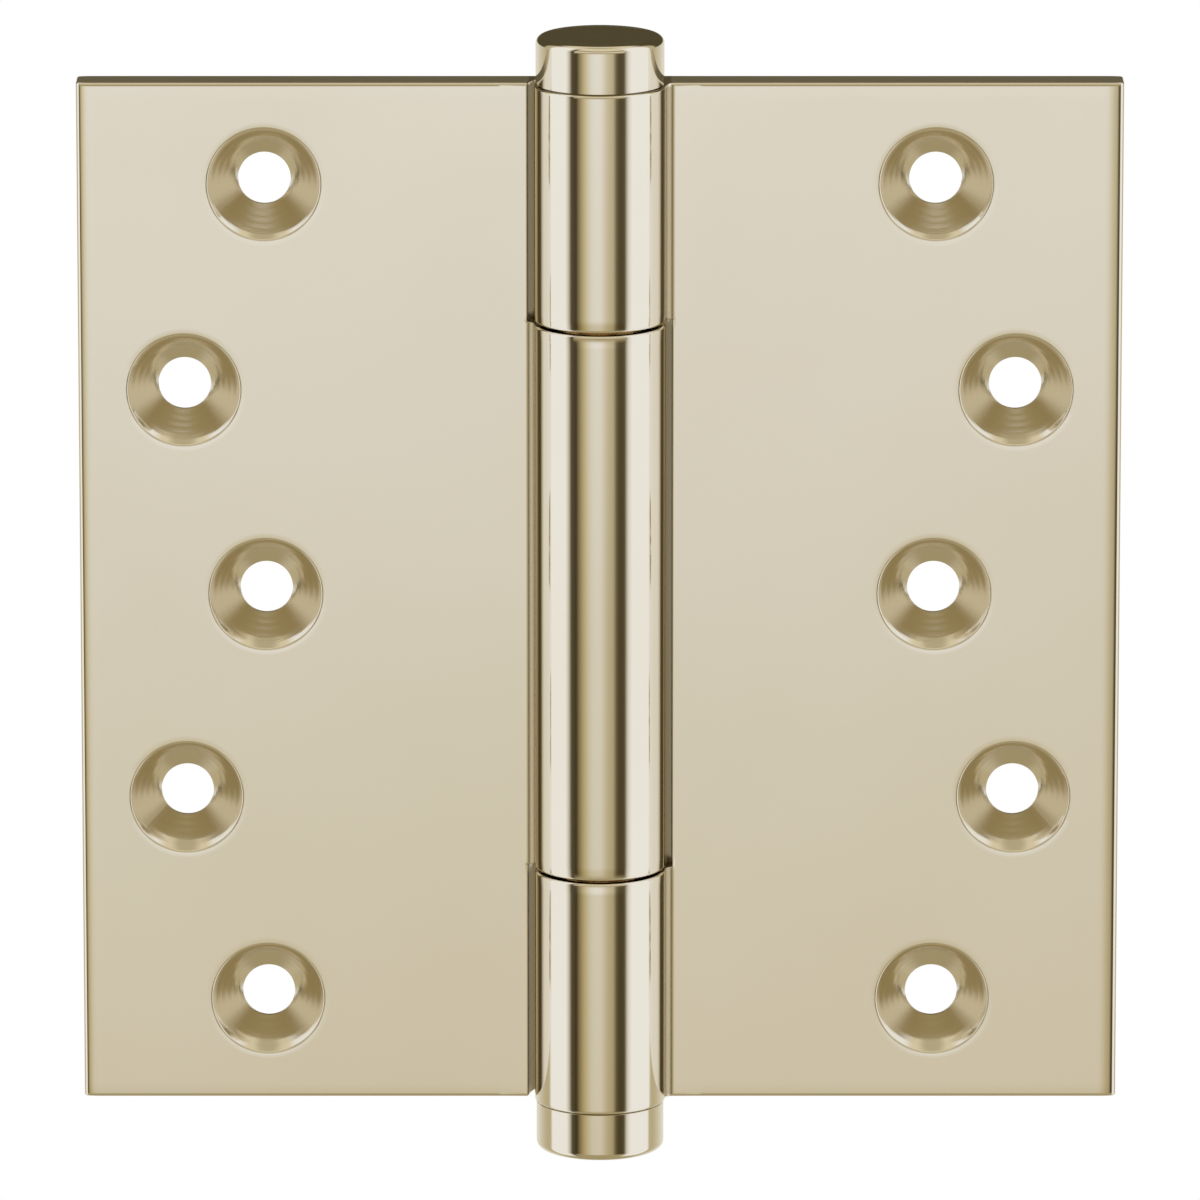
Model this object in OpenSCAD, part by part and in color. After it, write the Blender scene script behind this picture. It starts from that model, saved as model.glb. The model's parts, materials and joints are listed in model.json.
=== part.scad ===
// Three-knuckle butt hinge with square corners, concealed thrust bearings and button tips.
// Frame: the pin axis is Z, the origin is halfway up it, and the hinge lies open flat in XZ.
// The screw faces look along -Y, the frame leaf is at +X and the door leaf at -X.

/* [Leaves] */
// Height of both leaves
leaf_h = 127; // [90:1:180]
// Pin axis to the outer edge of a leaf
leaf_w = 63.5; // [45:0.5:90]
// Gauge of a leaf
leaf_t = 4.8; // [4.4:0.1:6]
// Pin axis plane to a leaf's screw face, half the gap left when the hinge is shut
face_offset = 0.8; // [0.5:0.1:1.6]
// Rounding of the two long outer edges of a leaf
edge_round = 0.6; // [0.2:0.1:1]

/* [Knuckles] */
// Outside diameter of the knuckles
knuckle_d = 16; // [15:0.1:22]
// Length of the door leaf's knuckle, in the middle
centre_knuckle_l = 67.95; // [50:0.05:90]
// Gap between neighbouring knuckles
seam_gap = 0.35; // [0.2:0.05:0.6]
// Straight bore through all the knuckles
bore_d = 11.5; // [10.5:0.1:14]
// Air between a knuckle and the cove in the other leaf's edge
cove_clear = 0.8; // [0.4:0.1:1.5]
// Fillet where a leaf runs into its own knuckle
root_fillet = 1.1; // [0.5:0.1:2]

/* [Screw holes] */
// Clearance hole for the screw's shank
hole_d = 6.4; // [5:0.1:7]
// Mouth of the countersink
countersink_d = 13.8; // [12:0.1:14.5]
// Included angle of the countersink
countersink_angle = 82; // [82:1:100]
// End of the leaf to the first hole
hole_end_margin = 12.5; // [10:0.5:20]
// Outer edge of the leaf to the column of two holes
outer_column_margin = 12.85; // [9:0.05:16]
// Outer edge of the leaf to the column of three holes
inner_column_margin = 22.7; // [20:0.1:28]

/* [Tips] */
// Diameter of a button tip
tip_d = 15.6; // [12:0.1:22]
// Height of a button tip above the knuckle
tip_h = 6; // [3:0.1:10]
// Rounding of a tip's upper edge
tip_round = 0.9; // [0.3:0.1:2]
// Length of the spigot that plugs a tip into the bore
spigot_l = 7; // [4:0.5:12]

/* [Pin and bearings] */
// Diameter of the hinge pin
pin_d = 7; // [5.5:0.1:8.5]
// Radial running clearance of the bushes on the pin
running_clear = 0.05; // [0.02:0.01:0.1]
// Radial clearance of pieces that are pressed or locked in place
seat_clear = 0.01; // [0.01:0.01:0.03]
// Length of a bearing bush
bush_l = 12; // [8:0.5:20]
// Thickness of a bearing race
race_t = 1.2; // [0.8:0.1:2]
// Diameter of a bearing ball
ball_d = 1.5; // [1:0.1:1.6]
// Balls in each bearing
ball_count = 14; // [8:1:15]
// Thickness of a ball cage
cage_t = 0.6; // [0.4:0.1:0.7]
// Metal left between a ball's pocket and the edge of its cage
cage_wall = 0.18; // [0.1:0.01:0.3]

/* [Pin lock screws] */
// Diameter of a lock screw
lock_d = 4; // [3:0.5:5]
// Width across the flats of its hexagon socket
socket_af = 2; // [1.5:0.5:2.5]
// Depth of its hexagon socket
socket_depth = 1.6; // [1:0.1:2]

/* [Hidden] */
$fn = 96;

nickel = [0.86, 0.83, 0.76];
steel = [0.72, 0.73, 0.75];
dark_steel = [0.36, 0.37, 0.39];
bronze = [0.70, 0.50, 0.28];
cut = 1;                // how far a cutting shape runs past the face that it cuts
tiny = 0.01;            // overlap that joins two shapes of one solid

half_h = leaf_h / 2;
knuckle_r = knuckle_d / 2;
bore_r = bore_d / 2;
pin_r = pin_d / 2;
cove_r = knuckle_r + cove_clear;
face_y = face_offset;
back_y = face_offset + leaf_t;

// Heights on the upper half of the pin; the lower half mirrors them.
seam_z = (centre_knuckle_l + seam_gap) / 2;
door_end_z = centre_knuckle_l / 2;
frame_start_z = door_end_z + seam_gap;

countersink_depth = (countersink_d - hole_d) / 2 / tan(countersink_angle / 2);
inner_column_x = leaf_w - inner_column_margin;
outer_column_x = leaf_w - outer_column_margin;
hole_pitch = (half_h - hole_end_margin) / 2;

ball_r = ball_d / 2;
ball_clear = 0.04;      // between a ball and its groove or its pocket
groove_r = ball_r + ball_clear;
race_clear = 0.15;      // around a race or a cage that turns past its neighbour
pocket_margin = race_clear + cage_wall + ball_clear;
// The bearings fill the bore, which is widened for them where the pin and the balls need more room.
bearing_r = max(bore_r, pin_r + ball_d + 2 * pocket_margin);
ball_circle_r = (bearing_r + pin_r) / 2;
cage_gap = 0.2;         // between a cage and each race
race_face = cage_t / 2 + cage_gap;  // plane of the ball centres to a race's face
race_back = race_face + race_t;

spigot_clear = 0.02;
spigot_chamfer = 0.4;
tip_relief = 0.15;      // bevel under a tip's rim, which draws the thin seam
end_play = 0.5;         // between the pin's end and the tip's spigot
pin_chamfer = 0.6;
pin_end_z = half_h - spigot_l - end_play;
sleeve_start_z = seam_z + race_back;
bush_end_z = seam_z - race_back;
bush_start_z = bush_end_z - bush_l;
spacer_clear = 0.3;     // the spacer tube never touches the pin

lock_z = (sleeve_start_z + pin_end_z) / 2;
lock_r = lock_d / 2;
lock_sink = 0.5;        // how far a lock screw stays under the knuckle's surface
lock_clear = 0.03;

// A ring about the pin axis, from z0 up by length l.
module ring(outer_r, inner_r, z0, l) {
    translate([0, 0, z0])
        rotate_extrude()
            translate([inner_r, 0])
                square([outer_r - inner_r, l]);
}

// The lower half of the hinge mirrors the upper half.
module lower() {
    mirror([0, 0, 1]) children();
}

// Flat plate of a leaf, from the pin axis out to x = leaf_w, with its long outer edges rounded.
module plate() {
    translate([0, 0, -half_h])
        linear_extrude(height = leaf_h) {
            translate([0, face_y])
                square([leaf_w - edge_round, leaf_t]);
            translate([leaf_w - edge_round - tiny, face_y + edge_round])
                square([edge_round + tiny, leaf_t - 2 * edge_round]);
            for (y = [face_y + edge_round, back_y - edge_round])
                translate([leaf_w - edge_round, y])
                    circle(r = edge_round);
        }
}

// Section of the fillet between the knuckle and the plane y = plane_y; out is +1 where air lies towards +Y.
module fillet_section(plane_y, out) {
    centre_y = plane_y + out * root_fillet;
    centre_x = sqrt(pow(knuckle_r + root_fillet, 2) - pow(centre_y, 2));
    touch = knuckle_r / (knuckle_r + root_fillet);
    difference() {
        polygon([
            [centre_x, centre_y],
            [centre_x * touch * 0.95, centre_y * touch * 0.95],
            [centre_x * 0.8, plane_y - out * root_fillet / 2],
            [centre_x, plane_y - out * root_fillet / 2]
        ]);
        translate([centre_x, centre_y])
            circle(r = root_fillet);
    }
}

// A leaf's own knuckle from z0 up by length l, blended into the plate.
module knuckle(z0, l) {
    translate([0, 0, z0])
        linear_extrude(height = l) {
            circle(r = knuckle_r);
            fillet_section(face_y, -1);
            fillet_section(back_y, 1);
        }
}

// Room for one of the other leaf's knuckles, from z0 up by length l.
module cove(z0, l) {
    translate([0, 0, z0])
        cylinder(r = cove_r, h = l);
}

// Countersunk screw hole at [x, z], sunk from the screw face.
module screw_hole(x, z) {
    translate([x, face_y, z])
        rotate([-90, 0, 0]) {
            cylinder(d1 = countersink_d, d2 = hole_d, h = countersink_depth);
            translate([0, 0, -cut])
                cylinder(d = hole_d, h = leaf_t + 2 * cut);
        }
}

// Five holes in zigzag: three in the inner column, two in the outer one.
module screw_holes() {
    for (step = [-2:2])
        screw_hole(step % 2 == 0 ? inner_column_x : outer_column_x, step * hole_pitch);
}

module pin_bore() {
    translate([0, 0, -half_h - cut])
        cylinder(d = bore_d, h = leaf_h + 2 * cut);
    if (bearing_r > bore_r) {
        bearing_seat();
        lower() bearing_seat();
    }
}

// Counterbore for a bearing that is wider than the bore.
module bearing_seat() {
    translate([0, 0, seam_z - race_back])
        cylinder(r = bearing_r, h = 2 * race_back);
}

// Hole for a lock screw, from the pin's surface out through the back of the knuckle.
module lock_hole(clear) {
    translate([0, pin_r - cut, lock_z])
        rotate([-90, 0, 0])
            cylinder(r = lock_r + clear, h = knuckle_r);
}

// Leaf with the two end knuckles, at +X.
module frame_leaf() {
    color(nickel)
        difference() {
            union() {
                plate();
                knuckle(frame_start_z, half_h - frame_start_z);
                knuckle(-half_h, half_h - frame_start_z);
            }
            cove(-frame_start_z, 2 * frame_start_z);
            pin_bore();
            screw_holes();
            lock_hole(lock_clear);
            lower() lock_hole(lock_clear);
        }
}

// Leaf with the centre knuckle, at -X.
module door_leaf() {
    color(nickel)
        mirror([1, 0, 0])
            difference() {
                union() {
                    plate();
                    knuckle(-door_end_z, centre_knuckle_l);
                }
                cove(door_end_z, half_h - door_end_z + cut);
                lower() cove(door_end_z, half_h - door_end_z + cut);
                pin_bore();
                screw_holes();
            }
}

module hinge_pin() {
    color(steel)
        rotate_extrude()
            polygon([
                [0, -pin_end_z],
                [pin_r - pin_chamfer, -pin_end_z],
                [pin_r, -pin_end_z + pin_chamfer],
                [pin_r, pin_end_z - pin_chamfer],
                [pin_r - pin_chamfer, pin_end_z],
                [0, pin_end_z]
            ]);
}

// Flat button with a rounded edge, on a spigot that plugs the bore.
module tip() {
    tip_r = tip_d / 2;
    spigot_r = bore_r - spigot_clear;
    color(nickel)
        translate([0, 0, half_h])
            rotate_extrude() {
                translate([0, tip_relief])
                    square([tip_r, tip_h - tip_relief - tip_round]);
                translate([0, tip_h - tip_round - tiny])
                    square([tip_r - tip_round, tip_round + tiny]);
                intersection() {
                    translate([tip_r - tip_round, tip_h - tip_round])
                        circle(r = tip_round);
                    square([tip_r, tip_h]);
                }
                polygon([
                    [0, -spigot_l],
                    [spigot_r - spigot_chamfer, -spigot_l],
                    [spigot_r, -spigot_l + spigot_chamfer],
                    [spigot_r, 0],
                    [tip_r - tip_relief, 0],
                    [tip_r, tip_relief],
                    [0, tip_relief + tiny]
                ]);
            }
}

module tip_top() {
    tip();
}

module tip_bottom() {
    lower() tip();
}

// Steel sleeve that fills the end knuckle's bore and holds the pin on the axis.
module pin_sleeve() {
    color(steel)
        difference() {
            ring(bore_r - seat_clear, pin_r + seat_clear, sleeve_start_z, pin_end_z - sleeve_start_z);
            lock_hole(lock_clear);
        }
}

module pin_sleeve_top() {
    pin_sleeve();
}

module pin_sleeve_bottom() {
    lower() pin_sleeve();
}

// Hexagon-socket grub screw, in from the back of the knuckle until it bears on the pin.
module pin_lock_screw() {
    lock_tip_y = pin_r + seat_clear;
    lock_l = knuckle_r - lock_sink - lock_tip_y;
    color(dark_steel)
        translate([0, lock_tip_y, lock_z])
            rotate([-90, 0, 0])
                difference() {
                    cylinder(r = lock_r, h = lock_l);
                    translate([0, 0, lock_l - socket_depth])
                        cylinder(d = socket_af / cos(30), h = socket_depth + cut, $fn = 6);
                }
}

module pin_lock_screw_top() {
    pin_lock_screw();
}

module pin_lock_screw_bottom() {
    lower() pin_lock_screw();
}

// Bronze bush in the door leaf's bore, turning on the pin.
module bearing_bush() {
    color(bronze)
        ring(bore_r - seat_clear, pin_r + running_clear, bush_start_z, bush_l);
}

module bearing_bush_upper() {
    bearing_bush();
}

module bearing_bush_lower() {
    lower() bearing_bush();
}

// Tube that keeps the two bushes apart and carries the door's weight down to the lower bearing.
module spacer_tube() {
    color(steel)
        ring(bore_r - seat_clear, pin_r + spacer_clear, -bush_start_z, 2 * bush_start_z);
}

// Hardened washer with a ball groove in the face towards the seam; side is +1 above it, -1 below.
module race(inner_r, side) {
    color(steel)
        difference() {
            ring(bearing_r - seat_clear, inner_r, seam_z + (side > 0 ? race_face : -race_back), race_t);
            translate([0, 0, seam_z])
                rotate_extrude()
                    translate([ball_circle_r, 0])
                        circle(r = groove_r);
        }
}

module frame_race_upper() {
    race(pin_r + seat_clear, 1);
}

module frame_race_lower() {
    lower() race(pin_r + seat_clear, 1);
}

module door_race_upper() {
    race(pin_r + race_clear, -1);
}

module door_race_lower() {
    lower() race(pin_r + race_clear, -1);
}

// Puts a copy of its children at each ball of the upper bearing.
module each_ball() {
    for (i = [0:ball_count - 1])
        rotate([0, 0, i * 360 / ball_count])
            translate([ball_circle_r, 0, seam_z])
                children();
}

module ball_cage() {
    color(bronze)
        difference() {
            ring(bearing_r - race_clear, pin_r + race_clear, seam_z - cage_t / 2, cage_t);
            each_ball() cylinder(r = ball_r + ball_clear, h = cage_t + cut, center = true);
        }
}

module ball_cage_upper() {
    ball_cage();
}

module ball_cage_lower() {
    lower() ball_cage();
}

module bearing_balls() {
    color(steel)
        each_ball() sphere(r = ball_r, $fn = 32);
}

module bearing_balls_upper() {
    bearing_balls();
}

module bearing_balls_lower() {
    lower() bearing_balls();
}

frame_leaf();
door_leaf();
hinge_pin();
tip_top();
tip_bottom();
pin_sleeve_top();
pin_sleeve_bottom();
pin_lock_screw_top();
pin_lock_screw_bottom();
bearing_bush_upper();
bearing_bush_lower();
spacer_tube();
frame_race_upper();
frame_race_lower();
door_race_upper();
door_race_lower();
ball_cage_upper();
ball_cage_lower();
bearing_balls_upper();
bearing_balls_lower();
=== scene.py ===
"""Looks of a square-cornered butt hinge in polished nickel, open flat, built around its CAD frame.

Metres, in the frame's own axes: the pin is Z, the screw faces look along -Y, the frame leaf is at +X
and the door leaf at -X. The two leaves and the two button tips are new surfaces; the pin, the sleeves,
the bushes, the bearings and the lock screws inside the knuckles stay as the frame has them.
"""

import json
import math

import bmesh
import bpy
import numpy as np
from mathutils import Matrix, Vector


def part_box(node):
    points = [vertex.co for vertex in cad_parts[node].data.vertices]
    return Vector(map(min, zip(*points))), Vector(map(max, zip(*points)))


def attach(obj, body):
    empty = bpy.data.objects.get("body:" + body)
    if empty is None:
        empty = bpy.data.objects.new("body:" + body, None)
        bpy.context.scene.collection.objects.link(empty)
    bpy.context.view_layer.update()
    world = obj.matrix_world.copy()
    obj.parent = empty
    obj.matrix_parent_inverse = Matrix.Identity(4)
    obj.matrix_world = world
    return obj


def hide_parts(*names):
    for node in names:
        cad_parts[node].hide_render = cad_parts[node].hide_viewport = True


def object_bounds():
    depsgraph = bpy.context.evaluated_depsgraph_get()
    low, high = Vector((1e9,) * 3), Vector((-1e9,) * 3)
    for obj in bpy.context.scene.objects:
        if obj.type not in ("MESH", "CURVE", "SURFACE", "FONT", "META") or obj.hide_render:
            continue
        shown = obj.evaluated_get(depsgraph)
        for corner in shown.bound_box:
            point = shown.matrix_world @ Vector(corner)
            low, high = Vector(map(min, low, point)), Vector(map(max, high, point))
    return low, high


MM = 0.001
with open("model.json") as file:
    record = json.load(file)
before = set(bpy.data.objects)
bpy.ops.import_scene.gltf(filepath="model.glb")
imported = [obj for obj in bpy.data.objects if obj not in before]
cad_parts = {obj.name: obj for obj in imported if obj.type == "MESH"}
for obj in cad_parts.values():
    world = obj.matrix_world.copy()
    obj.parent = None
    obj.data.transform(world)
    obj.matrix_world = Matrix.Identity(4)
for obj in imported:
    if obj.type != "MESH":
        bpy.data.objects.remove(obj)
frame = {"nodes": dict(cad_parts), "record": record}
cad_low, cad_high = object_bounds()
record = frame["record"]
mounts = {m["name"]: m for m in record["mounts"]}


# ---------------------------------------------------------------- sizes of the hinge

def centre_of(node):
    low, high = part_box(node)
    return (low + high) / 2


LEAF_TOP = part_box("frame_leaf")[1].z
LEAF_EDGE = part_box("frame_leaf")[1].x
TIP_STEP = 0.2 * MM          # a tip is this much smaller than the knuckle all round
KNUCKLE_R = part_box("tip_top")[1].x + TIP_STEP
LEAF_GAUGE = 4.8 * MM
BACK_Y = mounts["frame_leaf_back"]["pos_m"][1]
FACE_Y = BACK_Y - LEAF_GAUGE
BORE_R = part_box("pin_sleeve_top")[1].x + 0.01 * MM
SEAM_Z = centre_of("ball_cage_upper").z
HALF_SEAM = 0.175 * MM
COVE_R = KNUCKLE_R + 0.8 * MM
LOCK_Z = centre_of("pin_lock_screw_top").z
LOCK_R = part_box("pin_lock_screw_top")[1].x + 0.03 * MM
LOCK_EASE = 0.12 * MM        # rim of a lock-screw hole
LOCK_PATCH = 3.6 * MM        # half the height of the patch of knuckle around a lock screw
LOCK_PATCH_ANGLE = 27        # and half its width, in degrees around the pin

ROOT_FILLET = 1.1 * MM       # leaf into its own knuckle
EDGE_ROUND = 0.5 * MM        # long outer edges
CROWN = 1.9 * MM             # strip that the polishing wheel has worn down along every outer edge
CROWN_DROP = 0.17 * MM       # how far it has worn a long edge down
END_DROP = 0.02 * MM         # and how far it has worn the ends
WEAR_START = 1.2 * MM        # the wear starts this far from the knuckle
WEAR_FADE = 2.5 * MM         # and is full this much further on
END_EASE = 0.25 * MM         # top and bottom ends of a leaf
SEAM_EASE = 0.32 * MM        # ends of the knuckles at a seam
COVE_CORNER = 0.25 * MM      # vertical corners of the coves

HOLE_R = 3.2 * MM
SINK_R = 6.9 * MM
SINK_HALF_ANGLE = math.radians(41)
SINK_LIP = 0.35 * MM         # polished-over mouth of a countersink
HOLE_EASE = 0.12 * MM        # back edge of a screw hole

ROOT_STEP = 0.15 * MM        # first strip of the face beside a root
MARGIN_X = 12 * MM           # where the screw-hole panels start
GRID_X = 0.62 * MM           # sampling of the panels along X and Z
GRID_Z = 1.3 * MM
FILLET_STEPS = 8             # sampling of a root fillet and of the whole knuckle
KNUCKLE_STEPS = 150
SAME = 1e-8                  # heights closer than this are one height


# ---------------------------------------------------------------- surfaces

def arc(centre, radius, start, end, steps):
    """Points and outward normals of centre + radius * (cos t, sin t), for t from start to end degrees."""
    t = np.radians(np.linspace(start, end, steps + 1))
    ray = np.stack([np.cos(t), np.sin(t)], 1)
    return np.array(centre) + radius * ray, ray


def spaced(start, end, step):
    """Evenly spaced values from start to end, about step apart."""
    return np.linspace(start, end, max(2, int(round(abs(end - start) / step)) + 1))


def between(lines, low, high):
    """The lines that lie from low to high, both included."""
    return lines[(lines >= low - SAME) & (lines <= high + SAME)]


def circle(degrees):
    """Points of the unit circle at the given angles: (cos t, sin t)."""
    t = np.radians(degrees)
    return np.stack([np.cos(t), np.sin(t)], 1)


def steps_in(points):
    """For each point of a section, its distance from the nearer end, counted in points."""
    count = np.arange(len(points))
    return np.minimum(count, count[::-1])


class Surface:
    """Collects patches of one closed piece; equal corners of neighbouring patches are merged at the end.

    Every point carries two marks for the finish: turned, the radius in mm of a cut made on a lathe or with a
    countersink, and recess, how far the point lies out of the polishing wheel's reach in a root, cove or
    undercut;
    there the plate is rougher and darkened with painted shade.
    """

    def __init__(self, name):
        self.name, self.points, self.faces, self.count = name, [], [], 0
        self.turned, self.recess = [], []

    def add(self, points, turned=0.0, recess=0.0):
        """Stores points of any grid shape and returns their indices in the same shape."""
        points = np.asarray(points, float)
        flat = points.reshape(-1, 3)
        self.points.append(flat)
        self.turned.append(np.broadcast_to(turned, points.shape[:-1]).reshape(-1))
        self.recess.append(np.broadcast_to(recess, points.shape[:-1]).reshape(-1))
        index = np.arange(self.count, self.count + len(flat)).reshape(points.shape[:-1])
        self.count += len(flat)
        return index

    def grid(self, points, keep=None, closed=False, turned=0.0, recess=0.0):
        """A sheet of quads between the rows and columns of points.

        keep masks quads out, and closed joins the last column to the first.
        """
        i = self.add(points, turned, recess)
        if closed:
            i = np.concatenate([i, i[:, :1]], 1)
        quads = np.stack([i[:-1, :-1], i[:-1, 1:], i[1:, 1:], i[1:, :-1]], -1)
        quads = quads[keep] if keep is not None else quads.reshape(-1, 4)
        self.faces += quads.tolist()

    def plate(self, outline):
        """One flat face inside an outline."""
        self.faces.append(self.add(outline).tolist())

    def build(self, material, mirrored=False, worn=None):
        """The object: patches merged, faces turned outwards, normals weighted by area to keep flats flat."""
        points = np.concatenate(self.points)
        if worn:
            points = worn(points)
        points = points * ([-1, 1, 1] if mirrored else [1, 1, 1])
        mesh = bpy.data.meshes.new(self.name)
        mesh.from_pydata(points, [], self.faces)
        for key, values in (("turned", self.turned), ("recess", self.recess)):
            marks = mesh.attributes.new(key, "FLOAT", "POINT")
            marks.data.foreach_set("value", np.concatenate(values).astype(np.float32))
        shell = bmesh.new()
        shell.from_mesh(mesh)
        bmesh.ops.remove_doubles(shell, verts=shell.verts, dist=0.0004 * MM)
        bmesh.ops.dissolve_degenerate(shell, edges=shell.edges, dist=0.0002 * MM)
        bmesh.ops.recalc_face_normals(shell, faces=shell.faces)
        shell.to_mesh(mesh)
        open_edges = sum(len(e.link_faces) != 2 for e in shell.edges)
        shell.free()
        print(self.name, "faces", len(mesh.polygons), "open edges", open_edges)
        mesh.polygons.foreach_set("use_smooth", np.ones(len(mesh.polygons), bool))
        mesh.set_sharp_from_angle(angle=math.radians(32))
        mesh.materials.append(material)
        piece = bpy.data.objects.new(self.name, mesh)
        bpy.context.scene.collection.objects.link(piece)
        weigh = piece.modifiers.new("flat_faces", "WEIGHTED_NORMAL")
        weigh.mode, weigh.keep_sharp = "FACE_AREA", True
        return piece


# ---------------------------------------------------------------- sections of a leaf, seen along the pin

def fillet_centre(plane_y, out):
    """Centre of the fillet between the knuckle and the plane y = plane_y; out is 1 or -1, towards the air."""
    y = plane_y + out * ROOT_FILLET
    return math.sqrt((KNUCKLE_R + ROOT_FILLET) ** 2 - y * y), y


def knuckle_section():
    """Front fillet, knuckle and back fillet: points, outward normals and shares of the seam easing."""
    front, back = fillet_centre(FACE_Y, -1), fillet_centre(BACK_Y, 1)
    front_angle = math.degrees(math.atan2(front[1], front[0]))
    back_angle = math.degrees(math.atan2(back[1], back[0]))
    f_points, f_rays = arc(front, ROOT_FILLET, 90, 180 + front_angle, FILLET_STEPS)
    k_points, k_rays = arc((0, 0), KNUCKLE_R, 360 + front_angle, back_angle, KNUCKLE_STEPS)
    b_points, b_rays = arc(back, ROOT_FILLET, 180 + back_angle, 270, FILLET_STEPS)
    fade = np.linspace(0, 1, FILLET_STEPS + 1)
    points = np.concatenate([f_points, k_points[1:-1], b_points])
    normals = np.concatenate([-f_rays, k_rays[1:-1], -b_rays])
    share = np.concatenate([fade, np.ones(len(k_points) - 2), fade[::-1]])
    return points, normals, share, front_angle, back_angle


def cove_section():
    """Front corner, cove and back corner, from the screw face to the back: points and outward normals."""
    reach = COVE_R + COVE_CORNER
    y_front, y_back = FACE_Y + COVE_CORNER, BACK_Y - COVE_CORNER
    front = math.sqrt(reach ** 2 - y_front ** 2), y_front
    back = math.sqrt(reach ** 2 - y_back ** 2), y_back
    front_angle = math.degrees(math.atan2(front[1], front[0]))
    back_angle = math.degrees(math.atan2(back[1], back[0]))
    f_points, f_rays = arc(front, COVE_CORNER, 270, 180 + front_angle, 5)
    c_points, c_rays = arc((0, 0), COVE_R, front_angle, back_angle, 14)
    b_points, b_rays = arc(back, COVE_CORNER, 180 + back_angle, 90, 5)
    points = np.concatenate([f_points, c_points[1:-1], b_points])
    return points, np.concatenate([f_rays, -c_rays[1:-1], b_rays])


def edge_section():
    """Long outer edge of a leaf, from the back to the screw face, as points and outward normals."""
    x = LEAF_EDGE - EDGE_ROUND
    back, n_back = arc((x, BACK_Y - EDGE_ROUND), EDGE_ROUND, 90, 0, 7)
    front, n_front = arc((x, FACE_Y + EDGE_ROUND), EDGE_ROUND, 0, -90, 7)
    return np.concatenate([back, front]), np.concatenate([n_back, n_front])


def flat_patch(x_lines, z_lines, y):
    """Rectangle of a face at depth y, on the crossings of x_lines and z_lines."""
    x, z = np.meshgrid(x_lines, z_lines)
    return np.stack([x, np.full_like(x, y), z], -1)


def carried(points, z):
    """Rows of a section carried to each height in z."""
    rows = np.empty((len(z), len(points), 3))
    rows[..., :2] = points
    rows[..., 2] = np.asarray(z)[:, None]
    return rows


def eased(points, normals, z_from, z_to):
    """Rows of a section that runs into an end at z_to through a quarter round.

    At turn t the row stands radius * sin t along the way, and its points have sunk by radius * (1 - cos t).
    """
    radius = abs(z_to - z_from)
    t = np.radians(np.linspace(0, 90, 6))
    rows = carried(points, z_from + np.sign(z_to - z_from) * radius * np.sin(t))
    sink = radius * (1 - np.cos(t))
    rows[..., :2] -= sink[:, None, None] * normals
    return rows


def worn_edges(points):
    """Lowers both faces of a leaf towards its outer edges, by the cube of the way into the worn strip."""
    x, y, z = points.T
    into_side = np.maximum(1 - (LEAF_EDGE - EDGE_ROUND - x) / CROWN, 0)
    into_end = np.maximum(1 - (LEAF_TOP - END_EASE - np.abs(z)) / CROWN, 0)
    drop = CROWN_DROP * into_side ** 3 + END_DROP * into_end ** 3
    beside = np.clip((x - KNUCKLE_R - WEAR_START) / WEAR_FADE, 0, 1)
    middle = (FACE_Y + BACK_Y) / 2
    depth = (middle - y) / (middle - FACE_Y)
    y = y + drop * beside * depth
    return np.stack([x, y, z], 1)


def screw_panel(leaf, hole, x_lines, z_lines):
    """Rectangle of the leaf around one countersunk hole, front and back.

    Each point of the rectangle's outline is joined to the point of the hole's circles that lies at the same
    angle from the hole's centre, through a rounded lip, the cone, the hole's wall and its eased back edge.
    """
    x, z = hole
    low, high = x_lines[:-1], x_lines[1:][::-1]
    up, down = z_lines[:-1], z_lines[1:][::-1]
    outline = np.concatenate([
        np.stack([low, np.full(len(low), z_lines[0])], 1),
        np.stack([np.full(len(up), x_lines[-1]), up], 1),
        np.stack([high, np.full(len(high), z_lines[-1])], 1),
        np.stack([np.full(len(down), x_lines[0]), down], 1)])
    angle = np.arctan2(outline[:, 1] - z, outline[:, 0] - x)
    cone_tilt = math.pi / 2 - SINK_HALF_ANGLE
    reach = SINK_LIP * math.tan(cone_tilt / 2)
    t = np.linspace(0, cone_tilt, 7)
    lip_r = SINK_R + reach - SINK_LIP * np.sin(t)
    lip_y = FACE_Y + SINK_LIP * (1 - np.cos(t))
    cone_r = np.linspace(lip_r[-1], HOLE_R, 9)[1:]
    cone_y = lip_y[-1] + (lip_r[-1] - cone_r) / math.tan(SINK_HALF_ANGLE)
    t = np.radians(np.linspace(0, 90, 4))
    back_r = HOLE_R + HOLE_EASE * (1 - np.cos(t))
    back_y = BACK_Y - HOLE_EASE + HOLE_EASE * np.sin(t)
    outside = np.array([0.8 * MM, 2.2 * MM])
    radii = np.concatenate([SINK_R + outside[::-1], lip_r, cone_r, back_r, HOLE_R + outside])
    depths = np.concatenate([[FACE_Y] * 2, lip_y, cone_y, back_y, [BACK_Y] * 2])
    rings = np.empty((len(radii) + 2, len(angle), 3))
    for row, depth in ((0, FACE_Y), (-1, BACK_Y)):
        rings[row] = np.stack([outline[:, 0], np.full(len(angle), depth), outline[:, 1]], 1)
    rings[1:-1, :, 0] = x + radii[:, None] * np.cos(angle)
    rings[1:-1, :, 1] = depths[:, None]
    rings[1:-1, :, 2] = z + radii[:, None] * np.sin(angle)
    turned = np.zeros(len(rings))
    cut = slice(4, 3 + len(lip_r) + len(cone_r))
    turned[cut] = radii[3:2 + len(lip_r) + len(cone_r)] / MM
    leaf.grid(rings, closed=True, turned=turned[:, None])


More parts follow.
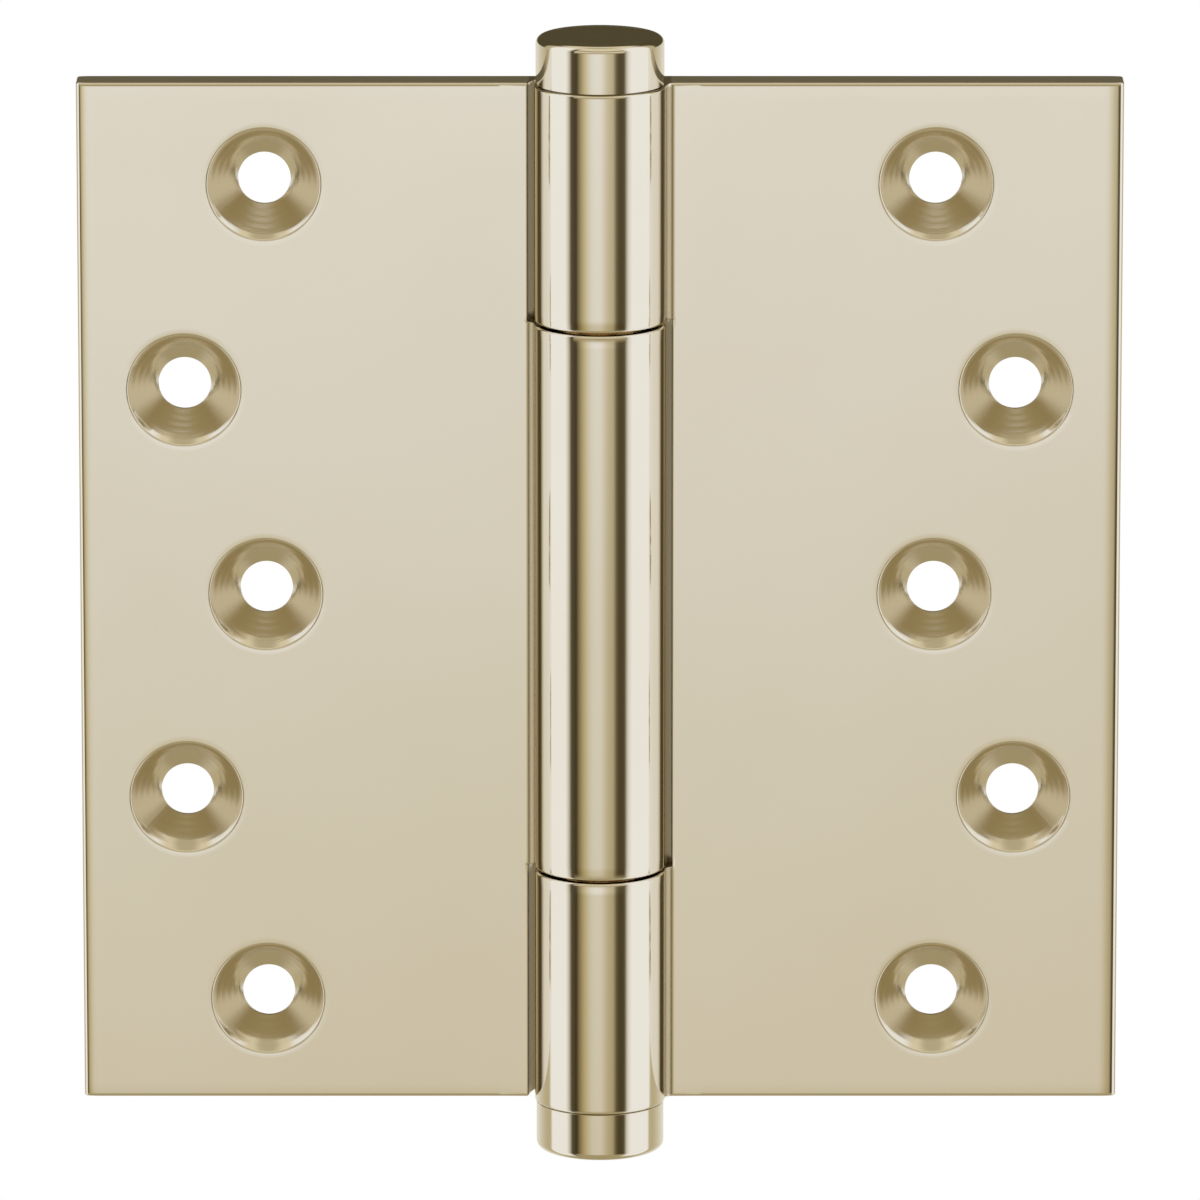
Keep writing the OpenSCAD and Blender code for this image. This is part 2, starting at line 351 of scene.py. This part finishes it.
def lock_pocket(leaf, angles, z_lines, z):
    """Patch of the knuckle's back around a lock screw.

    Its outline runs to the hole's circle on the knuckle, then over an eased rim and down to a floor.
    """
    flat = (angles - 90) * math.pi / 180 * KNUCKLE_R
    outline = np.concatenate([
        np.stack([flat[:-1], np.full(len(flat) - 1, z_lines[0])], 1),
        np.stack([np.full(len(z_lines) - 1, flat[-1]), z_lines[:-1]], 1),
        np.stack([flat[::-1][:-1], np.full(len(flat) - 1, z_lines[-1])], 1),
        np.stack([np.full(len(z_lines) - 1, flat[0]), z_lines[::-1][:-1]], 1)])
    turn = np.arctan2(outline[:, 1] - z, outline[:, 0])
    rim = np.stack([np.cos(turn), np.sin(turn)], 1)
    mouth = (LOCK_R + LOCK_EASE) * rim
    mouth = np.stack([KNUCKLE_R * np.arcsin(mouth[:, 0] / KNUCKLE_R), z + mouth[:, 1]], 1)
    rows = []
    for share in np.linspace(0, 1, 6):
        on = outline * (1 - share) + mouth * share
        a = on[:, 0] / KNUCKLE_R
        rows.append(np.stack([-KNUCKLE_R * np.sin(a), KNUCKLE_R * np.cos(a), on[:, 1]], 1))
    top = rows[-1][:, 1]
    for t in np.radians([30, 60, 90]):
        r = LOCK_R + LOCK_EASE * (1 - math.sin(t))
        rows.append(np.stack([-r * rim[:, 0], top - LOCK_EASE * (1 - math.cos(t)), z + r * rim[:, 1]], 1))
    floor = np.full(len(turn), BORE_R + 0.3 * MM)
    rows.append(np.stack([-LOCK_R * rim[:, 0], floor, z + LOCK_R * rim[:, 1]], 1))
    leaf.grid(np.array(rows), closed=True)
    leaf.plate(rows[-1])


def knuckle_end(leaf, z, sink, web):
    """Flat end of a knuckle: a ring from the bore to the knuckle's eased rim, and the web beyond it."""
    ring = circle(KNUCKLE_ANGLES)
    rows = np.array([carried(ring * r, [z])[0] for r in (BORE_R, KNUCKLE_R - sink)])
    leaf.grid(rows, closed=True)
    inner = circle(ROOT_ANGLES) * (KNUCKLE_R - sink)
    leaf.plate(carried(np.concatenate([web, inner[1:-1]]), [z])[0])


SECTION, SECTION_NORMALS, SECTION_SHARE, FRONT_ANGLE, BACK_ANGLE = knuckle_section()
# dull and darkened with painted shade in the fillets, and bright again on the knuckle
ROOT_RECESS = np.interp(steps_in(SECTION), [0, 2, FILLET_STEPS + 1, FILLET_STEPS + 6], [0, 1, 1, 0])
COVE, COVE_NORMALS = cove_section()
COVE_RECESS = np.interp(steps_in(COVE), [0, 3], [0, 2])    # twice as deep as a root, which gives the cove the darkest painted shade
EDGE, EDGE_NORMALS = edge_section()
# columns of the face and of the back between the root and the screw panels
FRONT_MARGIN = np.array([SECTION[0, 0], SECTION[0, 0] + ROOT_STEP, MARGIN_X])
BACK_MARGIN = np.array([COVE[-1, 0], COVE[-1, 0] + ROOT_STEP, MARGIN_X])
# the knuckle's own arc, then the arc hidden in the leaf's root, as one full turn
OPEN_ANGLES = np.linspace(360 + FRONT_ANGLE, BACK_ANGLE, KNUCKLE_STEPS + 1)
ROOT_ANGLES = np.linspace(BACK_ANGLE, FRONT_ANGLE, 17)
KNUCKLE_ANGLES = np.concatenate([OPEN_ANGLES, ROOT_ANGLES[1:-1]])


def make_leaf(name, holes, own_ranges, lock_heights, material, mirrored):
    """A whole leaf: screw panels, margins beside the knuckles, knuckles, coves, outer edge and ends.

    own_ranges are the stretches of the pin axis where this leaf has knuckles; it has coves on the rest.
    Every patch takes its heights from the same lines, so that neighbours share their corners.
    """
    leaf = Surface(name)
    end = LEAF_TOP - END_EASE
    pitch = abs(holes[1][1] - holes[0][1])
    inner = end - CROWN
    bands = [-end, -inner] + [(k + 0.5) * pitch for k in range(-2, 2)] + [inner, end]
    seams = [z for r in own_ranges for z in r if abs(z) < end]
    stops = set(bands) | set(seams)
    easing = SEAM_EASE * (1 - np.sin(np.radians(np.linspace(0, 90, 6)[:-1])))
    for z in seams:
        inward = 1 if any(abs(r[0] - z) < SAME for r in own_ranges) else -1
        stops |= set(np.round(z + inward * easing, 9))
    stops |= {z + s * LOCK_PATCH for z in lock_heights for s in (-1, 1)}
    stops |= {s * h for s in (-1, 1) for h in np.linspace(inner, end, 9)}
    stops = sorted(stops)
    z_lines = np.unique(np.concatenate([spaced(a, b, GRID_Z) for a, b in zip(stops, stops[1:])]).round(9))
    x_lines = spaced(MARGIN_X, LEAF_EDGE - EDGE_ROUND - CROWN, GRID_X)
    x_edge = spaced(LEAF_EDGE - EDGE_ROUND - CROWN, LEAF_EDGE - EDGE_ROUND, 0.2 * MM)
    x_all = np.concatenate([x_lines, x_edge[1:]])

    for hole, low, high in zip(holes, bands[1:], bands[2:]):
        screw_panel(leaf, hole, x_lines, between(z_lines, low, high))
    for y in (FACE_Y, BACK_Y):
        leaf.grid(flat_patch(x_edge, between(z_lines, -inner, inner), y))
        for low, high in ((-end, -inner), (inner, end)):
            leaf.grid(flat_patch(x_all, between(z_lines, low, high), y))
    leaf.grid(carried(EDGE, z_lines))

    own = [(max(a, -end), min(b, end)) for a, b in own_ranges]
    breaks = sorted({-end, end} | set(seams))
    for low, high in zip(breaks, breaks[1:]):
        z = between(z_lines, low, high)
        if any(abs(a - low) < SAME and abs(b - high) < SAME for a, b in own):
            own_stretch(leaf, z, low in seams, high in seams, [h for h in lock_heights if low < h < high])
            continue
        leaf.grid(carried(COVE, z), recess=COVE_RECESS)
        leaf.grid(flat_patch(np.insert(FRONT_MARGIN, 0, COVE[0, 0]), z, FACE_Y))
        leaf.grid(flat_patch(BACK_MARGIN, z, BACK_Y))

    for z in seams:
        knuckle_end(leaf, z, SEAM_EASE, seam_web())
    for side in (-1, 1):
        leaf_end(leaf, side, x_all, any(max(side * a, side * b) > end for a, b in own_ranges))
    return leaf.build(material, mirrored, worn_edges)


def own_stretch(leaf, z, seam_below, seam_above, locks):
    """A leaf's own knuckle over the heights z, with its fillets, margins, bore and any lock-screw pocket.

    At a seam the knuckle sinks by SEAM_EASE * (1 - sqrt(1 - d * d)), where d falls from 1 at the seam to 0 at
    SEAM_EASE from it.
    """
    rows = carried(SECTION, z)
    for at_seam, z_seam in ((seam_below, z[0]), (seam_above, z[-1])):
        if at_seam:
            depth = np.clip(1 - np.abs(z - z_seam) / SEAM_EASE, 0, 1)
            sink = SEAM_EASE * (1 - np.sqrt(1 - depth ** 2))
            rows[..., :2] -= sink[:, None, None] * SECTION_NORMALS * SECTION_SHARE[:, None]
    keep = np.ones((len(z) - 1, len(SECTION) - 1), bool)
    columns = np.flatnonzero(np.abs(OPEN_ANGLES - 90) <= LOCK_PATCH_ANGLE)
    for height in locks:
        lines = np.flatnonzero(np.abs(z - height) <= LOCK_PATCH + SAME)
        keep[lines[0]:lines[-1], FILLET_STEPS + columns[0]:FILLET_STEPS + columns[-1]] = False
        lock_pocket(leaf, OPEN_ANGLES[columns], z[lines], height)
    leaf.grid(rows, keep=keep, recess=ROOT_RECESS)
    leaf.grid(flat_patch(FRONT_MARGIN, z, FACE_Y))
    leaf.grid(flat_patch(np.insert(BACK_MARGIN, 0, SECTION[-1, 0]), z, BACK_Y))
    low = z[0] if seam_below else math.copysign(LEAF_TOP, z[0])
    high = z[-1] if seam_above else math.copysign(LEAF_TOP, z[-1])
    leaf.grid(carried(circle(KNUCKLE_ANGLES) * BORE_R, [low, high]), closed=True)


def seam_web():
    """Outline of the step between a knuckle's end and the cove: front fillet, the cove, back fillet."""
    section = SECTION - SEAM_EASE * SECTION_NORMALS * SECTION_SHARE[:, None]
    return np.concatenate([section[FILLET_STEPS::-1], COVE, section[:-FILLET_STEPS - 2:-1]])


def leaf_end(leaf, side, x_all, has_knuckle):
    """Top (side 1) or bottom (side -1) of a leaf: the outline, then a quarter round and the flat end."""
    inner, normals = (SECTION, SECTION_NORMALS) if has_knuckle else (COVE, COVE_NORMALS)
    extra_front = FRONT_MARGIN[1:0:-1] if has_knuckle else FRONT_MARGIN[1::-1]
    extra_back = BACK_MARGIN[0:2] if has_knuckle else BACK_MARGIN[1:2]
    front_x = np.concatenate([x_all[::-1], extra_front])
    back_x = np.concatenate([extra_back, x_all])
    front = np.stack([front_x, np.full(len(front_x), FACE_Y)], 1)
    back = np.stack([back_x, np.full(len(back_x), BACK_Y)], 1)
    loop = np.concatenate([front, inner, back, EDGE[1:-1]])
    ahead, behind = np.tile([0, -1], (len(front), 1)), np.tile([0, 1], (len(back), 1))
    out = np.concatenate([ahead, normals, behind, EDGE_NORMALS[1:-1]])
    rows = eased(loop, out, side * (LEAF_TOP - END_EASE), side * LEAF_TOP)
    leaf.grid(rows, closed=True)
    last = rows[-1][:, :2]
    if not has_knuckle:
        leaf.plate(carried(last, [side * LEAF_TOP])[0])
        return
    first, final = len(front) + FILLET_STEPS, len(front) + len(inner) - 1 - FILLET_STEPS
    web = np.concatenate([last[first::-1], last[:final - 1:-1]])
    knuckle_end(leaf, side * LEAF_TOP, END_EASE, web)


def make_tip(name, side, material):
    """Flat button with a rounded rim, a fine undercut at its foot and a plain spigot.

    It is a profile of radius over height turned about the pin axis, closed at both poles.
    """
    node_low, node_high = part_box(name)
    base = side * LEAF_TOP
    top = node_high.z if side > 0 else node_low.z
    plug = node_low.z if side > 0 else node_high.z
    rim = node_high.x
    rounding, spigot, chamfer = 0.9 * MM, BORE_R - 0.02 * MM, 0.4 * MM
    undercut, slot, relief = 0.4 * MM, 0.12 * MM, 0.06 * MM
    t = np.radians(np.linspace(0, 90, 12))
    radius = np.concatenate([
        [0, spigot - chamfer], [spigot, spigot], [rim - undercut] * 2, [rim - relief, rim],
        rim - rounding + rounding * np.cos(t),
        np.linspace(rim - rounding, 0, 10)[1:]])
    height = np.concatenate([
        [plug, plug], [plug + side * chamfer, base], [base, base + side * slot],
        [base + side * slot, base + side * (slot + relief)],
        top - side * rounding + side * rounding * np.sin(t), np.full(9, top)])
    around = circle(np.arange(0, 360, 2.5))
    points = np.empty((len(radius), len(around), 3))
    points[..., :2] = radius[:, None, None] * around
    points[..., 2] = height[:, None]
    row = np.arange(len(radius))
    foot, face = (row == 4) | (row == 5), row >= 8 + len(t)
    tip = Surface(name + "_button")
    # the undercut at the foot takes the cove's recess mark, which darkens it with painted shade and roughens
    # it
    turned, recess = np.where(face, radius / MM, 0), np.where(foot, 2, 0)
    tip.grid(points, closed=True, turned=turned[:, None], recess=recess[:, None])
    return tip.build(material)


# ---------------------------------------------------------------- finishes

class Value:
    """A shader socket on which Python's operators add Math nodes."""

    def __init__(self, finish, socket):
        self.finish, self.socket = finish, socket

    def maths(self, operation, *values):
        return self.finish.node("ShaderNodeMath", {"operation": operation}, dict(enumerate(values)))

    def __add__(self, other):
        return self.maths("ADD", self, other)

    def __radd__(self, other):
        return self.maths("ADD", other, self)

    def __sub__(self, other):
        return self.maths("SUBTRACT", self, other)

    def __rsub__(self, other):
        return self.maths("SUBTRACT", other, self)

    def __mul__(self, other):
        return self.maths("MULTIPLY", self, other)

    def __rmul__(self, other):
        return self.maths("MULTIPLY", other, self)

    def __truediv__(self, other):
        return self.maths("DIVIDE", self, other)

    def size(self):
        """The value without its sign."""
        return self.maths("ABSOLUTE", self)

    def step(self, low, high):
        """0 below low, 1 above high, smooth between."""
        settings = {"interpolation_type": "SMOOTHSTEP"}
        inputs = {"Value": self, "From Min": low, "From Max": high}
        return self.finish.node("ShaderNodeMapRange", settings, inputs)


class Finish:
    """A node tree under construction, for a material or for the studio's surroundings."""

    def __init__(self, tree):
        self.tree = tree
        tree.nodes.clear()

    def node(self, kind, settings=None, inputs=None, output=0):
        """Adds a node: its settings first, then its sockets' values or links; returns one of its outputs."""
        made = self.tree.nodes.new(kind)
        for key, value in (settings or {}).items():
            setattr(made, key, value)
        for key, value in (inputs or {}).items():
            if isinstance(value, Value):
                self.tree.links.new(value.socket, made.inputs[key])
            else:
                made.inputs[key].default_value = value
        return Value(self, made.outputs[output]) if made.outputs else None

    def parts(self, place):
        """X, Y and Z of a place."""
        return [self.node("ShaderNodeSeparateXYZ", {}, {0: place}, output=k) for k in range(3)]

    def lengthwise(self, place, share):
        """The place with its heights shrunk to a share, which draws a pattern out along the pin."""
        return self.node("ShaderNodeMapping", {}, {"Vector": place, "Scale": (1.0, 1.0, share)})

    def noise(self, place, scale, detail, roughness=0.5):
        inputs = {"Vector": place, "Scale": scale, "Detail": detail, "Roughness": roughness}
        return self.node("ShaderNodeTexNoise", {}, inputs)

    def mix(self, factor, a, b, blend="MIX"):
        """Blend of two colours, or of a colour socket and a colour; b is seen where factor is 1."""
        settings = {"data_type": "RGBA", "blend_type": blend}
        return self.node("ShaderNodeMix", settings, {0: factor, 6: a, 7: b}, output=2)

    def ramp(self, factor, low, high, stops):
        """Colour ramp over factor from low to high, with its stops given in the factor's own units."""
        made = self.node("ShaderNodeValToRGB", {}, {0: (factor - low) / (high - low)})
        elements = made.socket.node.color_ramp.elements
        while len(elements) < len(stops):
            elements.new(0.5)
        for element, (at, colour) in zip(elements, stops):
            element.position = (at - low) / (high - low)
        for element, (at, colour) in zip(elements, stops):
            element.color = (*colour, 1)
        return made


def metal(name, colour, deep, roughness, bump, build=None):
    """Bare or plated metal.

    Its colour drifts between two tones, and its roughness varies with rub marks along the pin. bump is the
    depth of those marks in metres, and build may add its own tone, roughness and relief.
    """
    material = bpy.data.materials.new(name)
    material.use_nodes = True
    finish = Finish(material.node_tree)
    place = finish.node("ShaderNodeTexCoord", output=3)
    drift = finish.noise(place, 22.0, 3.0)
    rub = finish.noise(finish.lengthwise(place, 0.12), 5200.0, 2.0, 0.6)
    tone = finish.mix(drift.step(0.35, 0.75), (*colour, 1), (*deep, 1))
    rough = roughness + (rub - 0.5) * roughness * 0.5 + (drift - 0.5) * roughness * 0.35
    relief = rub * bump
    if build:
        tone, rough, relief = build(finish, place, tone, rough, relief)
    normal = finish.node("ShaderNodeBump", {}, {"Strength": 1.0, "Distance": 1.0, "Height": relief})
    shader = finish.node("ShaderNodeBsdfPrincipled", {}, {
        "Base Color": tone, "Metallic": 1.0, "Roughness": rough, "Normal": normal})
    finish.node("ShaderNodeOutputMaterial", {}, {"Surface": shader})
    return material


MICRON = 1e-6
ROOT_DULL_AND_SHADE_TONE = (0.47, 0.385, 0.215, 1)      # plate that the wheel reaches badly: duller, and darkened with painted shade in the roots
COVE_DULL_AND_SHADE_TONE = (0.30, 0.24, 0.115, 1)       # and hardly at all: painted shade of the deep coves and undercuts


def nickel_relief(finish, place, tone, rough, relief):
    """Polished nickel plate.

    The open faces have a slow buffing swell, and cuts have fine turning rings and a slightly darker tone. The
    plate is rougher in the roots and coves, which the wheel can't reach, and darkened and warmed there with
    painted shade, most in the coves; the leaves' sheared ends are satin.
    """
    turned = finish.node("ShaderNodeAttribute", {"attribute_name": "turned"}, output=2)
    recess = finish.node("ShaderNodeAttribute", {"attribute_name": "recess"}, output=2)
    x, _, z = finish.parts(place)
    at_end = z.size().step(LEAF_TOP - 0.12 * MM, LEAF_TOP - 0.02 * MM)
    sheared = at_end * x.size().step(KNUCKLE_R + 0.3 * MM, KNUCKLE_R + 0.8 * MM)
    cut = turned.step(0.5, 2.0)
    swell = finish.noise(place, 55.0, 1.0)
    wobble = finish.noise(place, 900.0, 1.0)
    drawn = finish.noise(finish.lengthwise(place, 0.02), 320.0, 1.0)
    fine = turned.maths("SINE", turned * 34.0 + wobble * 1.2) * (0.30 * MICRON)
    coarse = turned.maths("SINE", turned * 9.0 + wobble) * (1.0 * MICRON)
    relief = relief + (swell * (3.0 * MICRON) + drawn * (3.0 * MICRON)) * (1 - cut) + cut * (fine + coarse)
    # painted shade: roots, coves and tip undercuts are darkened towards the shade tones by the recess mark;
    # cuts take a little of the first tone
    tone = finish.mix(recess * 0.75 + cut * 0.08, tone, ROOT_DULL_AND_SHADE_TONE)
    tone = finish.mix(recess.step(0.9, 2.0), tone, COVE_DULL_AND_SHADE_TONE)
    rough = rough + cut * 0.02 + recess.maths("MINIMUM", recess, 1.0) * 0.27 + sheared * 0.3
    return tone, rough, relief


nickel = metal("polished_nickel", (0.84, 0.795, 0.70), (0.82, 0.77, 0.665), 0.075, 0.25 * MICRON,
               nickel_relief)
ground_steel = metal("ground_pin_steel", (0.62, 0.62, 0.61), (0.56, 0.56, 0.56), 0.24, 0.8 * MICRON)
bearing_steel = metal("polished_bearing_steel", (0.66, 0.66, 0.66), (0.60, 0.60, 0.61), 0.12, 0.2 * MICRON)
black_steel = metal("black_oxide_steel", (0.075, 0.073, 0.072), (0.045, 0.045, 0.047), 0.38, 1.5 * MICRON)
bronze = metal("turned_bronze", (0.68, 0.44, 0.21), (0.58, 0.36, 0.16), 0.28, 1.0 * MICRON)
INNER_METALS = {
    "pin_steel": ground_steel, "bearing_steel": bearing_steel, "dark_steel": black_steel, "bronze": bronze}


# ---------------------------------------------------------------- pieces

def holes_of(mount_prefix):
    """Centres of a leaf's screw holes from the bottom up, as distance from the pin axis and height."""
    found = []
    for mount in mounts.values():
        if mount["name"].startswith(mount_prefix) and mount["kind"] == "bolt_pattern":
            half = mount["dims"].get("spacing_y_mm", 0) / 2 * MM
            found += [(abs(mount["pos_m"][0]), s * half) for s in ((-1, 1) if half else (1,))]
    return sorted(found, key=lambda h: h[1])


frame_ranges = [(-LEAF_TOP, -SEAM_Z - HALF_SEAM), (SEAM_Z + HALF_SEAM, LEAF_TOP)]
door_ranges = [(-SEAM_Z + HALF_SEAM, SEAM_Z - HALF_SEAM)]
frame_holes, door_holes = holes_of("frame_leaf"), holes_of("door_leaf")
frame_leaf = make_leaf("frame_leaf_plated", frame_holes, frame_ranges, [-LOCK_Z, LOCK_Z], nickel, False)
door_leaf = make_leaf("door_leaf_plated", door_holes, door_ranges, [], nickel, True)
made = [
    (frame_leaf, "frame_side", "frame_leaf"),
    (door_leaf, "door_side", "door_leaf"),
    (make_tip("tip_top", 1, nickel), "frame_side", "tip_top"),
    (make_tip("tip_bottom", -1, nickel), "frame_side", "tip_bottom"),
]
for piece, body, node in made:
    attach(piece, body)
    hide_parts(node)

slot_of = {s["node"]: s["material_slot"] for s in record["subparts"]}
for node, obj in frame["nodes"].items():
    if slot_of[node] in INNER_METALS:
        obj.data.materials.clear()
        obj.data.materials.append(INNER_METALS[slot_of[node]])


# ---------------------------------------------------------------- studio

SOFT_WHITE = (0.97, 0.975, 0.98)
SIDE_GOLD = (0.55, 0.48, 0.31)
BACK_PANEL = (0.80, 0.77, 0.68)
GAP = (0.07, 0.055, 0.032)
SHADE = (0.38, 0.31, 0.165)
DARK_OLIVE = (0.085, 0.07, 0.036)
CEILING = (0.80, 0.72, 0.54)
ZENITH = (0.54, 0.48, 0.32)
TABLE = (0.42, 0.355, 0.21)

# all round at the object's height, by degrees from straight in front, positive to its right
UPRIGHT_PANELS = [
    (-180, BACK_PANEL), (-150, BACK_PANEL), (-112, SIDE_GOLD), (-102, SIDE_GOLD),
    (-97, SOFT_WHITE), (-63, SOFT_WHITE), (-57, (0.64, 0.60, 0.50)), (-52, (0.10, 0.08, 0.045)),
    (-42, GAP), (-36, (0.33, 0.27, 0.145)), (-28, (0.62, 0.53, 0.33)), (-21, (0.755, 0.713, 0.58)),
    (-14, (0.845, 0.845, 0.79)), (-6, (0.888, 0.878, 0.854)), (2, (0.876, 0.861, 0.83)),
    (8, (0.775, 0.724, 0.616)), (14, (0.663, 0.604, 0.451)), (23, (0.55, 0.50, 0.348)),
    (29, (0.17, 0.137, 0.073)), (35, (0.09, 0.07, 0.042)), (44, (0.11, 0.09, 0.048)),
    (51, (0.78, 0.75, 0.68)), (58, SOFT_WHITE), (97, SOFT_WHITE),
    (102, SIDE_GOLD), (112, SIDE_GOLD), (150, BACK_PANEL), (180, BACK_PANEL)]
# in front, above and below the middle panel, by degrees of elevation
FRONT_COLUMN = [
    (-90, TABLE), (-50, (0.41, 0.35, 0.20)), (-30, (0.43, 0.37, 0.21)), (-3, (0.42, 0.35, 0.19)),
    (5, SHADE), (12, (0.78, 0.74, 0.62)), (20, (0.80, 0.75, 0.62)), (25, SHADE), (34, SHADE),
    (40, (0.77, 0.69, 0.51)), (90, CEILING)]
# the middle panel's own fall of light from its lower edge to its upper one
PANEL_BOTTOM, PANEL_TOP = -17.5, -8
PANEL_FALL = [
    (PANEL_BOTTOM, (0.76, 0.71, 0.57)), (-15, (0.82, 0.775, 0.66)), (-13, (0.89, 0.877, 0.82)),
    (-10.5, (1, 1, 1)), (PANEL_TOP, (1, 1, 1))]


def surroundings():
    """Upright soft boxes all round with dark gaps between them, as a world for the metal to mirror."""
    world = bpy.data.worlds.new("studio")
    bpy.context.scene.world = world
    world.use_nodes = True
    sky = Finish(world.node_tree)
    x, y, z = sky.parts(sky.node("ShaderNodeTexCoord", output=0))
    azimuth = x.maths("ARCTAN2", x, y * -1) * math.degrees(1)
    elevation = z.maths("ARCSINE", z) * math.degrees(1)
    beside = azimuth.size()

    colour = sky.ramp(azimuth, -180, 180, UPRIGHT_PANELS)
    front = 1 - beside.step(45, 49)
    colour = sky.mix(front, colour, sky.ramp(elevation, PANEL_BOTTOM, PANEL_TOP, PANEL_FALL), "MULTIPLY")
    off_panel = 1 - elevation.step(-25, -19) * (1 - elevation.step(-7, -3))
    colour = sky.mix(front * off_panel, colour, sky.ramp(elevation, -90, 90, FRONT_COLUMN))
    colour = sky.mix(beside.step(112, 120) * elevation.step(-1, 3), colour, (*DARK_OLIVE, 1))
    colour = sky.mix(elevation.step(48, 64), colour, (*CEILING, 1))
    colour = sky.mix(elevation.step(66, 80), colour, (*ZENITH, 1))
    colour = sky.mix(1 - elevation.step(-64, -46), colour, (*TABLE, 1))
    light = sky.node("ShaderNodeBackground", {}, {"Color": colour, "Strength": 1.0})
    sky.node("ShaderNodeOutputWorld", {}, {"Surface": light})


def staged(name, points, faces):
    """A white floor or backdrop that the camera sees and the metal doesn't mirror."""
    mesh = bpy.data.meshes.new(name)
    mesh.from_pydata(points, [], faces)
    obj = bpy.data.objects.new(name, mesh)
    bpy.context.scene.collection.objects.link(obj)
    material = bpy.data.materials.new(name)
    material.use_nodes = True
    finish = Finish(material.node_tree)
    shader = finish.node("ShaderNodeEmission", {}, {"Color": (1, 1, 1, 1), "Strength": 1.0})
    finish.node("ShaderNodeOutputMaterial", {}, {"Surface": shader})
    mesh.materials.append(material)
    obj.visible_glossy = obj.visible_diffuse = obj.visible_transmission = obj.visible_shadow = False


surroundings()
FLOOR_Z = cad_low.z - 0.5
REACH = 40.0
corners = [(-1, -1), (1, -1), (1, 1), (-1, 1)]
staged("floor", [(x * REACH, y * REACH, FLOOR_Z) for x, y in corners], [(0, 1, 2, 3)])

# the backdrop is a prism's sides, its lower ring of corners first
SIDES = 24
ring = 0.9 * REACH * circle(np.arange(SIDES) * 360 / SIDES)
wall_faces = [(i, (i + 1) % SIDES, SIDES + (i + 1) % SIDES, SIDES + i) for i in range(SIDES)]
staged("backdrop", carried(ring, [FLOOR_Z - 1, REACH]).reshape(-1, 3), wall_faces)

TILT = math.radians(13)      # the camera looks down by this much
DISTANCE = 1.6
AIM_Z = -0.55 * MM
FRAME_WIDTH = 0.1465         # what the frame spans at the pin
camera_data = bpy.data.cameras.new("camera")
camera_data.sensor_width = 36
camera_data.lens = camera_data.sensor_width * DISTANCE / FRAME_WIDTH
camera_data.clip_start, camera_data.clip_end = 0.05, 200
camera = bpy.data.objects.new("camera", camera_data)
bpy.context.scene.collection.objects.link(camera)
camera.rotation_euler = (math.pi / 2 - TILT, 0, 0)
camera.location = (0.0, -DISTANCE * math.cos(TILT), AIM_Z + DISTANCE * math.sin(TILT))
bpy.context.scene.camera = camera
bpy.context.scene.view_settings.view_transform = "Standard"
